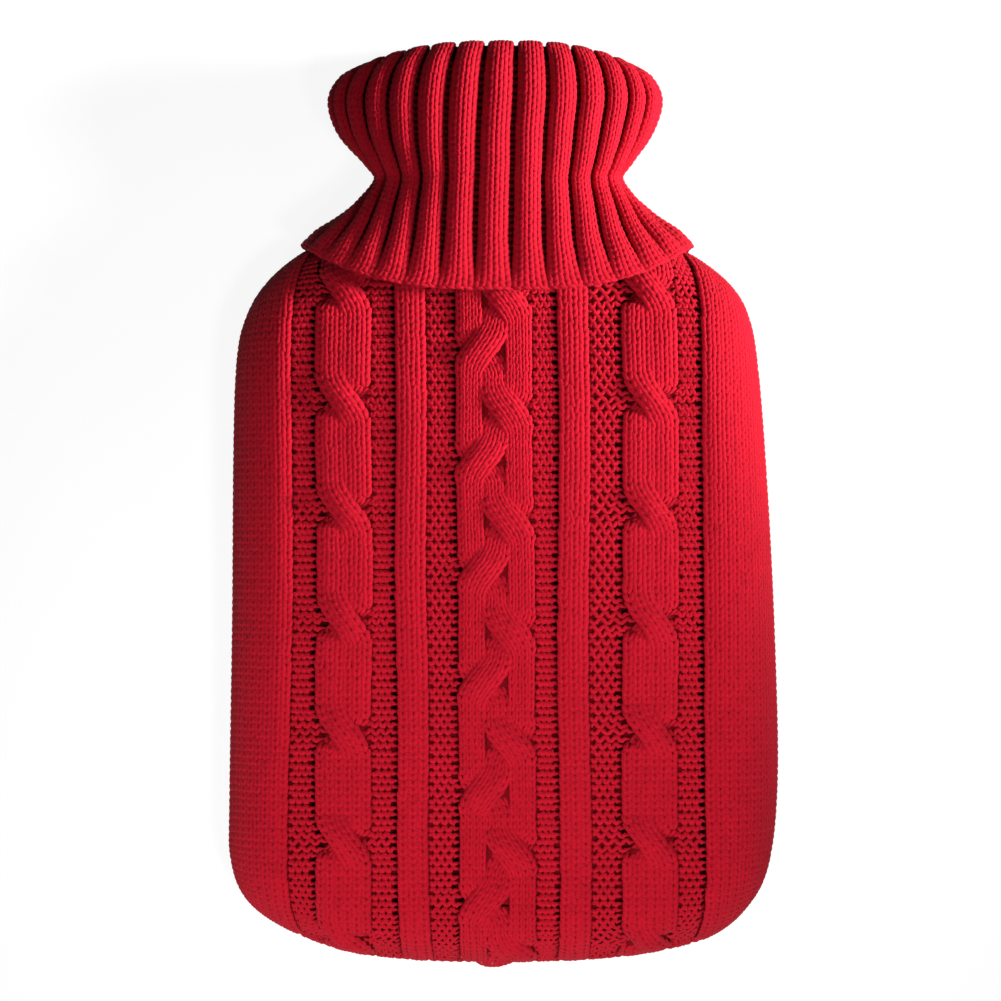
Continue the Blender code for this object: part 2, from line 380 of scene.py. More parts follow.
@dataclass
class Piece:
    """Grids of points that are gathered into one mesh."""

    name: str
    grids: list[tuple[Array, Array, Array, bool]] = field(default_factory=list)
    cell_margin: float = 0.06

    def add(self, points: Array, shade: Array, yarn: Array | None = None, flip: bool = False) -> None:
        """Adds patches of cloth or yarn.

        Args:
            points: patches by rows by columns by three, in millimetres.
            shade: the painted shade of each point, 0 to 1, mostly times a random tone.
            yarn: each point's place along and round the yarn.
            flip: whether the patches face the other way.
        """
        if yarn is None:
            yarn = points[..., :2]
        whole = np.broadcast_to(shade, points.shape[:3])
        self.grids.append((points, whole, np.broadcast_to(yarn, (*points.shape[:3], 2)), flip))

    def faces(self) -> int:
        """How many triangles the gathered patches have."""
        return sum(2 * g[0].shape[0] * (g[0].shape[1] - 1) * (g[0].shape[2] - 1) for g in self.grids)

    def _laid_out(self) -> tuple[Array, Array]:
        """Numbers the corners of the faces and gives every patch a cell of the atlas.

        Returns:
            Four corners for each face, and each point's place in the atlas.
        """
        corners, atlas, first, done = [], [], 0, 0
        side = math.ceil(math.sqrt(sum(grid[0].shape[0] for grid in self.grids)))
        margin = self.cell_margin
        for points, _, _, flip in self.grids:
            count, rows, columns = points.shape[:3]
            index = first + np.arange(count * rows * columns).reshape(count, rows, columns)
            quad = [index[:, :-1, :-1], index[:, :-1, 1:], index[:, 1:, 1:], index[:, 1:, :-1]]
            stacked = np.stack([corner.ravel() for corner in quad], axis=1)
            corners.append(stacked[:, ::-1] if flip else stacked)
            across, along = np.meshgrid(
                np.linspace(margin, 1 - margin, columns),
                np.linspace(margin, 1 - margin, rows),
            )
            cell = done + np.arange(count)
            start = np.stack([cell % side, cell // side], axis=1)[:, None, None]
            here = np.stack([across, along], axis=2)[None]
            atlas.append(((here + start) / side).reshape(-1, 2))
            first += count * rows * columns
            done += count
        return np.vstack(corners), np.vstack(atlas)

    def build(self, material: bpy.types.Material, slot: str) -> bpy.types.Object:
        """Makes the object.

        Args:
            material: its finish.
            slot: the record's material slot; not used.

        Returns:
            The object, riding on the cover.
        """
        quads, atlas = self._laid_out()
        mesh = bpy.data.meshes.new(self.name)
        mesh.vertices.add(len(atlas))
        mesh.vertices.foreach_set("co", np.concatenate([g[0].reshape(-1) for g in self.grids]) * MM)
        mesh.loops.add(quads.size)
        mesh.loops.foreach_set("vertex_index", quads.ravel().astype(np.int32))
        mesh.polygons.add(len(quads))
        mesh.polygons.foreach_set("loop_start", np.arange(0, quads.size, 4, dtype=np.int32))
        mesh.polygons.foreach_set("use_smooth", np.ones(len(quads), bool))
        mesh.update(calc_edges=True)
        # The shade attribute holds painted shade, with random tone mixed in, for the materials to read.
        shade = mesh.attributes.new("shade", "FLOAT", "POINT")
        brightness = np.concatenate([g[1].ravel() for g in self.grids])
        shade.data.foreach_set("value", brightness.astype(np.float32))
        self._map(mesh, "OFBake", atlas[quads.ravel()])
        yarn = np.vstack([g[2].reshape(-1, 2) for g in self.grids])
        self._map(mesh, "yarn", yarn[quads.ravel()])
        mesh.materials.append(material)
        item = bpy.data.objects.new(self.name, mesh)
        bpy.context.scene.collection.objects.link(item)
        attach(item, BODY)
        log.info("%s: %d triangles", self.name, self.faces())
        return item

    def _map(self, mesh: bpy.types.Mesh, name: str, places: Array) -> None:
        """Adds one map of the surface to the mesh."""
        layer = mesh.uv_layers.new(name=name)
        layer.data.foreach_set("uv", places.astype(np.float32).ravel())


def welded(item: bpy.types.Object) -> bpy.types.Object:
    """Joins an object's patches where their edges meet.

    Args:
        item: the object.

    Returns:
        The same object.
    """
    weld = item.modifiers.new("weld", "WELD")
    weld.merge_threshold = WELD_DISTANCE
    with bpy.context.temp_override(object=item, active_object=item, selected_objects=[item]):
        bpy.ops.object.modifier_apply(modifier=weld.name)
    return item


# ---------------------------------------------------------------- the body's shape


class Facing(Enum):
    """Which way a panel faces."""

    UP = 1
    DOWN = -1


SEAM_HEIGHT = 18.0
PIECE_GAP = 0.3
FRONT_HEIGHT = 44.0
FRONT_DROP = 9.0
BACK_LIFT = 5.0
CROWN = 4.0
EDGE_STEPS = 8
# From the neck down the left side.
LEFT_SIDE = (
    (-43.0, 112.0),
    (-46.5, 106.5),
    (-58.0, 101.5),
    (-75.5, 92.5),
    (-88.0, 82.0),
    (-95.5, 70.0),
    (-99.4, 54.0),
    (-100.7, 20.0),
    (-101.2, -45.0),
    (-102.2, -110.0),
    (-101.8, -134.0),
)
# From the left corner round the foot to the right corner.
FOOT = (
    (-95.5, -149.5),
    (-80.0, -160.5),
    (-58.0, -168.5),
    (-30.0, -171.8),
    (0.0, -172.4),
    (32.0, -171.5),
    (57.0, -168.5),
    (77.0, -163.0),
    (90.5, -152.5),
)
# Up the right side to the neck.
RIGHT_SIDE = (
    (99.0, -136.0),
    (102.3, -104.0),
    (101.4, -55.0),
    (98.8, 0.0),
    (95.2, 48.0),
    (91.5, 69.0),
    (84.0, 81.5),
    (69.6, 92.5),
    (53.0, 101.0),
    (43.5, 106.5),
    (40.5, 112.0),
)


class Outline:
    """The body's edge seen from above, run on straight up past the neck."""

    spacing = 0.6
    neck_run = 26.0
    batch = 2000

    def __init__(self) -> None:
        """Draws the edge."""
        line = smooth_line(LEFT_SIDE + FOOT + RIGHT_SIDE, EDGE_STEPS)
        start = line[0] + (0, self.neck_run)
        end = line[-1] + (0, self.neck_run)
        whole = np.vstack([start, line, end])
        length = np.linalg.norm(np.diff(whole, axis=0), axis=1).sum()
        self.line = resampled(whole, int(length / self.spacing))
        forward = np.gradient(self.line, axis=0)
        forward /= np.linalg.norm(forward, axis=1)[:, None]
        normals = np.stack([-forward[:, 1], forward[:, 0]], axis=1)
        soften = np.hanning(15) / np.hanning(15).sum()
        padded = np.pad(normals, ((7, 7), (0, 0)), mode="edge")
        normals = np.stack([np.convolve(padded[:, i], soften, "valid") for i in (0, 1)], axis=1)
        self.forward = forward
        self.inward = normals / np.linalg.norm(normals, axis=1)[:, None]

    def measure(self, places: Array) -> tuple[Array, Array, Array]:
        """Finds how far inside the edge each place is.

        Args:
            places: points, one a row.

        Returns:
            The depth inside the edge, the nearest point of the edge, and the way in from there.
        """
        nearest = np.empty(len(places), int)
        for start in range(0, len(places), self.batch):
            some = slice(start, start + self.batch)
            apart = ((places[some, None] - self.line[None]) ** 2).sum(2)
            nearest[some] = apart.argmin(1)
        offset = places - self.line[nearest]
        slide = np.clip((offset * self.forward[nearest]).sum(1), -self.spacing, self.spacing)
        index = np.clip(nearest + slide / self.spacing, 0, len(self.line) - 1)
        known = np.arange(len(self.line))
        edge = np.stack([np.interp(index, known, column) for column in self.line.T], axis=1)
        inward = np.stack([np.interp(index, known, column) for column in self.inward.T], axis=1)
        depth = ((places - edge) * inward).sum(1)
        return depth, edge, inward


class Cloth:
    """A surface in space addressed by a place on the flat cloth and a height above it."""

    def __init__(self, us: Array, vs: Array, points: Array, facing: float) -> None:
        """Keeps a regular table of the surface.

        Args:
            us: the table's places across.
            vs: the table's places along.
            points: along by across by three.
            facing: 1 where across then along turns outwards, and -1 where it turns inwards.
        """
        self.us, self.vs, self.points = us, vs, points
        across = np.gradient(points, axis=1)
        along = np.gradient(points, axis=0)
        normals = np.cross(across, along) * facing
        self.normals = normals / np.maximum(np.linalg.norm(normals, axis=2), 1e-9)[:, :, None]

    def at(self, u: Array, v: Array, height: Array) -> Array:
        """Finds points of the surface.

        Args:
            u: places across.
            v: places along.
            height: how far above the cloth they are.

        Returns:
            The points, with a last axis of three.
        """
        column = np.clip((u - self.us[0]) / (self.us[1] - self.us[0]), 0, len(self.us) - 1.001)
        row = np.clip((v - self.vs[0]) / (self.vs[1] - self.vs[0]), 0, len(self.vs) - 1.001)
        i, j = column.astype(int), row.astype(int)
        fx, fy = (column - i)[..., None], (row - j)[..., None]

        def mixed(table: Array) -> Array:
            """Finds a table's value between its four nearest entries.

            Args:
                table: the table, along by across by three.

            Returns:
                The value at each place.
            """
            low = table[j, i] * (1 - fx) + table[j, i + 1] * fx
            high = table[j + 1, i] * (1 - fx) + table[j + 1, i + 1] * fx
            return low * (1 - fy) + high * fy

        normal = mixed(self.normals)
        normal /= np.maximum(np.linalg.norm(normal, axis=-1), 1e-9)[..., None]
        return mixed(self.points) + normal * height[..., None]


@dataclass
class PanelShape:
    """The outer face of a body panel, unrolled from its seam."""

    facing: Facing
    reach: float
    table_step: float = 2.0
    table_side: float = 124.0
    table_foot: float = -194.0
    table_top: float = 122.0
    swell: Ripple = Ripple(11, 90.0, 0.45)
    outline: Outline = field(default_factory=Outline)

    def __post_init__(self) -> None:
        """Measures the rounded edge."""
        self.seam = SEAM_HEIGHT + self.facing.value * PIECE_GAP / 2
        rise = abs(self.level(np.array(0.0)) - self.seam)
        self.angles = np.linspace(0, math.pi / 2, 60)
        line = np.stack([self.reach * (1 - np.cos(self.angles)), rise * np.sin(self.angles)], axis=1)
        steps = np.linalg.norm(np.diff(line, axis=0), axis=1)
        self.arc = np.concatenate([[0], np.cumsum(steps)])
        self.spare = float(self.arc[-1] - self.reach)

    def level(self, y: Array) -> Array:
        """Finds the height of the flat part.

        Args:
            y: distances along the cover.

        Returns:
            The height at each.
        """
        if self.facing is Facing.UP:
            return FRONT_HEIGHT - FRONT_DROP * ease(y, 42.0, 116.0)
        return BACK_LIFT * ease(y, 44.0, 76.0)

    def from_seam(self, u: Array, v: Array) -> Array:
        """How far along the cloth each place is from the seam."""
        depth, _, _ = self.outline.measure(np.stack([u.ravel(), v.ravel()], axis=1))
        return depth.reshape(u.shape) + self.spare

    def place(self, u: Array, v: Array) -> Array:
        """Rolls places of the flat cloth onto the body.

        Args:
            u: places across.
            v: places along.

        Returns:
            Their points in space.
        """
        flat = np.stack([u.ravel(), v.ravel()], axis=1)
        depth, edge, inward = self.outline.measure(flat)
        length = depth + self.spare
        angle = np.interp(length, self.arc, self.angles)
        inset = self.reach * (1 - np.cos(angle))
        rounded = (length < self.arc[-1])[:, None]
        place = np.where(rounded, edge + inward * inset[:, None], flat)
        level = self.level(place[:, 1])
        height = self.seam + (level - self.seam) * np.sin(angle)
        height = height + np.minimum(length, 0) * self.facing.value
        if self.facing is Facing.UP:
            crown_run = 60 - 38 * ease(place[:, 1], 60.0, 112.0)
            inner = np.clip((depth - self.reach) / crown_run, 0, 1)
            height = height + CROWN * np.sin(math.pi / 2 * inner)
            height = height + self.swell(u.ravel(), v.ravel()) * ease(length, 4.0, 40.0)
        return np.column_stack([place, height]).reshape(*u.shape, 3)

    def cloth(self) -> Cloth:
        """Works out the panel's surface.

        Returns:
            The surface as a table.
        """
        us = np.arange(-self.table_side, self.table_side + 0.1, self.table_step)
        vs = np.arange(self.table_foot, self.table_top + 0.1, self.table_step)
        across, along = np.meshgrid(us, vs)
        return Cloth(us, vs, self.place(across, along), self.facing.value)


@dataclass
class PanelGround:
    """The cloth of one panel behind its stitches, as a closed sheet."""

    name: str
    shape: PanelShape
    thickness: float = 1.2
    side_rows: int = 118
    foot_columns: int = 74
    rings: int = 14

    def unrolled(self) -> tuple[Array, Array]:
        """Lays out the sheet on the flat cloth.

        Returns:
            The rings round its edge, and the grid inside the last ring.
        """
        outline = Outline()
        line = smooth_line(LEFT_SIDE + FOOT + RIGHT_SIDE, EDGE_STEPS)
        _, edge, inward = outline.measure(line)
        known = np.hstack([edge, inward])
        foot_start = EDGE_STEPS * (len(LEFT_SIDE) - 1)
        foot_end = EDGE_STEPS * (len(LEFT_SIDE) + len(FOOT))
        left = resampled(known[: foot_start + 1], self.side_rows)
        foot = resampled(known[foot_start : foot_end + 1], self.foot_columns)
        right = resampled(known[foot_end:], self.side_rows)
        rim = np.vstack([left, foot[1:-1], right])
        depths = np.linspace(0, self.shape.arc[-1], self.rings) - self.shape.spare
        rings = rim[None, :, :2] + rim[None, :, 2:] * depths[:, None, None]
        last = rings[-1]
        sides = (last[: self.side_rows][::-1], last[-self.side_rows :])
        base = last[self.side_rows - 1 : self.side_rows - 1 + self.foot_columns]
        top = np.linspace(sides[0][-1], sides[1][-1], self.foot_columns)
        across = np.linspace(0, 1, self.foot_columns)[None, :, None]
        up = np.linspace(0, 1, self.side_rows)[:, None, None]
        grid = (1 - across) * sides[0][:, None] + across * sides[1][:, None]
        grid = grid + (1 - up) * base[None] + up * top[None]
        grid = grid - (1 - up) * ((1 - across) * base[0] + across * base[-1])
        grid = grid - up * ((1 - across) * top[0] + across * top[-1])
        return rings, grid

    def build(
        self,
        cloth: Cloth,
        relief: Callable[[Array, Array], tuple[Array, Array]],
        finish: ShadedInnerKnit,
        slot: str,
    ) -> bpy.types.Object:
        """Makes the sheet.

        Args:
            cloth: the panel's surface.
            relief: the height and painted shade of the ground at each place.
            finish: its finish.
            slot: the record's material slot.

        Returns:
            The sheet.
        """
        piece = Piece(self.name)
        rings, grid = self.unrolled()
        down = self.shape.facing is Facing.DOWN
        for patch, turned in ((rings, True), (grid, False)):
            height, shade = relief(patch[..., 0], patch[..., 1])
            outer = cloth.at(patch[..., 0], patch[..., 1], height)
            inner = cloth.at(patch[..., 0], patch[..., 1], height - self.thickness)
            piece.add(outer[None], shade[None], flip=turned == down)
            # Painted shade: the inner face and the sheet's rims are darker.
            piece.add(inner[None], shade[None] * 0.6, flip=turned != down)
            if turned:
                rim = np.stack([inner[0], outer[0]])
                piece.add(rim[None], np.stack([shade[0], shade[0]])[None] * 0.8, flip=down)
                for end in (0, -1):
                    rim = np.stack([inner[:, end], outer[:, end]])
                    piece.add(rim[None], np.ones((1, 2, 1)) * 0.4, flip=(end == 0) == down)
            else:
                rim = np.stack([inner[-1], outer[-1]])
                piece.add(rim[None], np.ones((1, 2, 1)) * 0.4, flip=down)
        return welded(piece.build(finish.make(), slot))


# ---------------------------------------------------------------- knitting

ROW = 41.0 / 16
TOP_ROW = 108.0
ROWS = 117


def half_tube(
    along: Array,
    width: Array,
    radius: Array,
    across: int,
    turn: float = 80.0,
) -> tuple[Array, Array, Array]:
    """Gives the cross-sections of half a round yarn.

    Args:
        along: how far along the yarn each section is, 0 to 1.
        width: half the yarn's width at each section.
        radius: how far the yarn stands up at each section.
        across: how many points a section has.
        turn: how far round the yarn the outer points are, in degrees.

    Returns:
        The sideways shift, the height and the painted shade of each point, sections by points.
    """
    angle = np.radians(np.linspace(-turn, turn, across))
    shift = width[:, None] * np.sin(angle)[None, :] / math.sin(math.radians(turn))
    height = radius[:, None] * np.cos(angle)[None, :]
    # Painted shade: the yarn is darker towards its sides and towards its ends, where it dives under its
    # neighbours.
    painted_lit_tone = np.broadcast_to(0.64 + 0.36 * np.cos(angle)[None, :], shift.shape)
    ends = np.clip(np.minimum(along, 1 - along) * 4 + 0.74, 0, 1)
    return shift, height, painted_lit_tone * ends[:, None]


def yarn_places(along: Array, around: Array, shape: tuple[int, ...]) -> Array:
    """Pairs the places along and round the yarn.

    Args:
        along: how far along the yarn each point is.
        around: how far round it.
        shape: the shape of the patches.

    Returns:
        Both for every point of the patches.
    """
    return np.stack([np.broadcast_to(along, shape), np.broadcast_to(around, shape)], axis=-1)


class Move(NamedTuple):
    """A place where a strand crosses to another side."""

    height: float
    shift: float
    over: bool


@dataclass(frozen=True)
class Strand:
    """A few knit columns that run side by side up the cover and may cross their neighbours."""

    centre: float
    columns: int
    column_width: float
    lean: float = 0.0
    seed: int = 1
    moves: tuple[Move, ...] = ()
    open_left: bool = True
    open_right: bool = True
    wander: float = 0.45
    rope_centre: float | None = None
    rope_half: float = 1.0
    over_reach: float = 10.2
    under_reach: float = 6.4
    rise: float = 2.3
    dip: float = 2.0
    edge_drop: float = 1.15
    over_spread: float = 0.20
    under_spread: float = 0.0

    @property
    def half(self) -> float:
        """Half the strand's width."""
        return self.columns * self.column_width / 2

    def _share(self, v: Array, move: Move) -> Array:
        """Finds how far through a crossing the strand is.

        Args:
            v: places along the cover.
            move: the crossing.

        Returns:
            The share at each place, 0 to 1 from the top down.
        """
        reach = self.over_reach if move.over else self.under_reach
        start = move.height + (0.8 if move.over else -0.6)
        return np.clip((start + reach - v) / (2 * reach), 0, 1)

    def middle(self, v: Array) -> Array:
        """Finds the strand's middle.

        Args:
            v: places along the cover.

        Returns:
            The place across the cover at each.
        """
        return self._sway(v) + self.centre + self._crossed(v)

    def _sway(self, v: Array) -> Array:
        """How far the whole band wanders sideways at each place along the cover."""
        return self.lean * (v + 172) / 280 + Ripple(self.seed, 95.0, self.wander)(0 * v, v)

    def _crossed(self, v: Array) -> Array:
        """Finds how far the strand's crossings have moved it.

        Args:
            v: places along the cover.

        Returns:
            The sideways shift at each place.
        """
        total = 0.0 * v
        for move in self.moves:
            share = self._share(v, move)
            total = total + move.shift * share * share * (3 - 2 * share)
        return total

    def lift(self, v: Array) -> Array:
        """Finds how far the strand stands above or below its neighbours.

        Args:
            v: places along the cover.

        Returns:
            The height at each place.
        """
        total = 0.0 * v
        for move in self.moves:
            bump = np.sin(math.pi * self._share(v, move)) ** 1.3
            total = total + bump * (self.rise if move.over else -self.dip)
        return total

    def spread(self, v: Array) -> Array:
        """Finds how much wider than usual the strand's columns are.

        Args:
            v: places along the cover.

        Returns:
            The width at each place, against the usual.
        """
        total = 1.0 + 0.0 * v
        for move in self.moves:
            wider = self.over_spread if move.over else self.under_spread
            total = total + np.sin(math.pi * self._share(v, move)) * wider
        return total

    def slope(self, v: Array) -> Array:
        """How steeply the strand runs sideways at each place along the cover."""
        return self.middle(v + 0.5) - self.middle(v - 0.5)

    def crest(self, offset: Array, v: Array) -> Array:
        """The drop of the strand's surface towards its open edges.

        Args:
            offset: places across, from the strand's middle.
            v: places along the cover.

        Returns:
            The height of the surface, 0 or less.
        """
        crossed = 1.0 + 0.0 * v
        for move in self.moves:
            rounder = 1.1 if move.over else 0.2
            crossed = crossed + np.sin(math.pi * self._share(v, move)) ** 2 * rounder
        width = 1.6 * self.column_width
        left = np.clip(1 - (offset + self.half) / width, 0, 1.4) ** 2 * self.open_left
        right = np.clip(1 - (self.half - offset) / width, 0, 1.4) ** 2 * self.open_right
        if self.rope_centre is None:
            return -self.edge_drop * (left + right)
        side = np.clip((self.centre + self._crossed(v) - self.rope_centre) / self.rope_half, -1, 1)
        alone = (crossed - 1) * 0.5
        left = left * (0.12 + 0.88 * (1 - side) / 2 + alone)
        right = right * (0.12 + 0.88 * (1 + side) / 2 + alone)
        return -self.edge_drop * crossed * (left + right)


@dataclass(frozen=True)
class KnitStitch:
    """One V of stocking stitch, made of two legs of yarn."""

    sections: int = 5
    across: int = 5
    foot: float = 0.12
    spread: float = 0.27
    drop: float = 0.68
    length: float = 1.56
    width: float = 0.275
    radius: float = 0.62
    dive: float = 0.70

    def leg(self) -> tuple[Array, Array, Array, Array, Array]:
        """Gives the right leg of the V.

        Returns:
            Columns sideways, rows along, height, painted shade, and the place along the yarn.
        """
        along = np.linspace(0, 1, self.sections)
        sideways = self.foot + self.spread * along**0.8
        rows = -self.drop + self.length * along
        depth = self.dive * (np.sin(math.pi * (0.10 + 0.80 * along)) - 0.95)
        width = self.width * np.sin(math.pi * (0.15 + 0.70 * along)) ** 0.5
        shift, height, painted_lit_tone = half_tube(along, width, self.radius * width / self.width, self.across)
        return (
            sideways[:, None] + shift,
            np.broadcast_to(rows[:, None], shift.shape),
            height + depth[:, None],
            painted_lit_tone,
            np.broadcast_to(along[:, None] * self.length * ROW, shift.shape),
        )


@dataclass
class Knitter:
    """Works stitches onto a panel."""

    shape: PanelShape
    cloth: Cloth
    edge_room: float = 0.5

    def strand(
        self,
        piece: Piece,
        strand: Strand,
        stitch: KnitStitch,
        rows: range,
        row_step: float,
    ) -> None:
        """Knits the columns of one strand.

        Args:
            piece: the piece that the stitches join.
            strand: the strand.
            stitch: the shape of each stitch.
            rows: the rows that are worked, counted down from the neck.
            row_step: the height of a row.
        """
        chance = np.random.default_rng(strand.seed + 700)
        sideways, along, height, painted_lit_tone, run = stitch.leg()
        count = strand.columns
        column = np.arange(count) - (count - 1) / 2
        places = TOP_ROW - np.array(rows) * row_step
        column, place = (a.ravel() for a in np.meshgrid(column, places))
        keep = self.shape.from_seam(strand.middle(place) + column * strand.column_width, place)
        kept = (keep > self.edge_room) & (place > self.shape.table_foot - 2.0)
        column, place = column[kept], place[kept]
        loose = chance.normal(0, 0.035, (len(column), 2))
        tone = 1 + chance.normal(0, 0.05, len(column))
        for side in (-1, 1):
            offset = (column + loose[:, 0])[:, None, None] + side * sideways[None]
            v = place[:, None, None] + (along[None] + loose[:, 1][:, None, None]) * row_step
            across = offset * strand.column_width
            v = v - 0.55 * strand.slope(place)[:, None, None] * across
            lifted = strand.lift(v) + strand.crest(across, v) + height[None]
            u = strand.middle(v) + across * strand.spread(v)
            points = self.cloth.at(u, v, lifted)
            # Painted shade from the leg's shape, times a random tone for each stitch.
            shade = painted_lit_tone[None] * tone[:, None, None]
            flip = self.shape.facing is Facing.DOWN
            piece.add(points, shade, yarn_places(side * run, side * sideways, u.shape), flip)


@dataclass(frozen=True)
class Gutter:
    """The sunken purl columns between two raised bands."""

    left: tuple[Strand, ...]
    right: tuple[Strand, ...]
    seed: int
    left_room: float = 0.9
    right_room: float = 1.9
    waves: int = 3
    depth: float = 2.1
    sections: int = 15
    across: int = 4
    radius: float = 0.84
    thin: float = 0.40
    wave: float = 0.36
    tuck: float = 0.9
    hidden_shade: float = 0.35

    def edges(self, v: Array) -> tuple[Array, Array]:
        """Finds the gutter's sides.

        Args:
            v: places along the cover.

        Returns:
            The places across of its left and its right side.
        """
        left = np.max([s.middle(v) + s.half * s.spread(v) for s in self.left], axis=0)
        right = np.min([s.middle(v) - s.half * s.spread(v) for s in self.right], axis=0)
        return left, right

    def _route(self, knitter: Knitter, chance: np.random.Generator) -> tuple[Array, Array, Array, Array]:
        """Lays out the yarn of each row, from under one band to under the next.

        Args:
            knitter: what works the rows onto the panel.
            chance: what the small differences are drawn from.

        Returns:
            The places across and along, the heights and the yarn's radii, rows by points.
        """
        rows = TOP_ROW - (np.arange(ROWS) + 0.5) * ROW
        left, right = self.edges(rows)
        kept = knitter.shape.from_seam((left + right) / 2, rows) > 0.2
        rows, left, right = rows[kept], left[kept], right[kept]
        share = np.linspace(0, 1, self.sections + 1)[None]
        start, end = left + self.left_room, right - self.right_room
        u = start[:, None] + (end - start)[:, None] * share
        phase = chance.normal(0, 0.25, (len(rows), 1))
        alternate = math.pi * (np.arange(len(rows)) % 2)[:, None]
        swing = 2 * math.pi * self.waves * share + phase + alternate
        v = rows[:, None] + self.wave * ROW * np.sin(swing) + chance.normal(0, 0.10, (len(rows), 1))
        seam = knitter.shape.from_seam((left + right) / 2, rows)
        low = -self.depth * (0.25 + 0.75 * ease(seam, 1.0, 10.0))[:, None]
        height = low + 0.30 * np.cos(2 * swing)
        tucked = [edge[:, None] for edge in (left - self.tuck, left, right, right + self.tuck)]
        u = np.concatenate([*tucked[:2], u, *tucked[2:]], axis=1)
        v = np.concatenate([rows[:, None]] * 2 + [v] + [rows[:, None]] * 2, axis=1)
        height = np.concatenate([low - 0.5, low - 0.6, height, low - 0.9, low - 0.6], axis=1)
        radius = np.full(u.shape, self.radius)
        radius[:, :2] = self.thin
        radius[:, -2:] = self.thin
        return u, v, height, radius

    def knit(self, piece: Piece, knitter: Knitter) -> None:
        """Works the purl rows.

        Args:
            piece: the piece that the rows join.
            knitter: what works them onto the panel.
        """
        chance = np.random.default_rng(self.seed)
        u, v, height, radius = self._route(knitter, chance)
        run_u, run_v = np.gradient(u, axis=1), np.gradient(v, axis=1)
        length = np.maximum(np.hypot(run_u, run_v), 1e-6)
        angle = np.radians(np.linspace(-80, 80, self.across))
        side, up = np.sin(angle), np.cos(angle)
        su = u[..., None] + (run_v / length * radius)[..., None] * side
        sv = v[..., None] - (run_u / length * radius)[..., None] * side
        sh = height[..., None] + radius[..., None] * up
        points = knitter.cloth.at(su, sv, sh)
        tone = 1 + chance.normal(0, 0.05, (len(u), 1, 1))
        # Painted shade: the ends tucked under the bands are dimmed, and each row is darker towards its
        # sides; the tone is random.
        dim = np.where(radius > self.thin, 1.0, self.hidden_shade)
        shade = (0.66 + 0.34 * up)[None, None] * dim[..., None] * tone
        along = np.cumsum(length, axis=1)
        piece.add(points, shade, yarn_places(along[..., None], side, su.shape))


# ---------------------------------------------------------------- the front panel


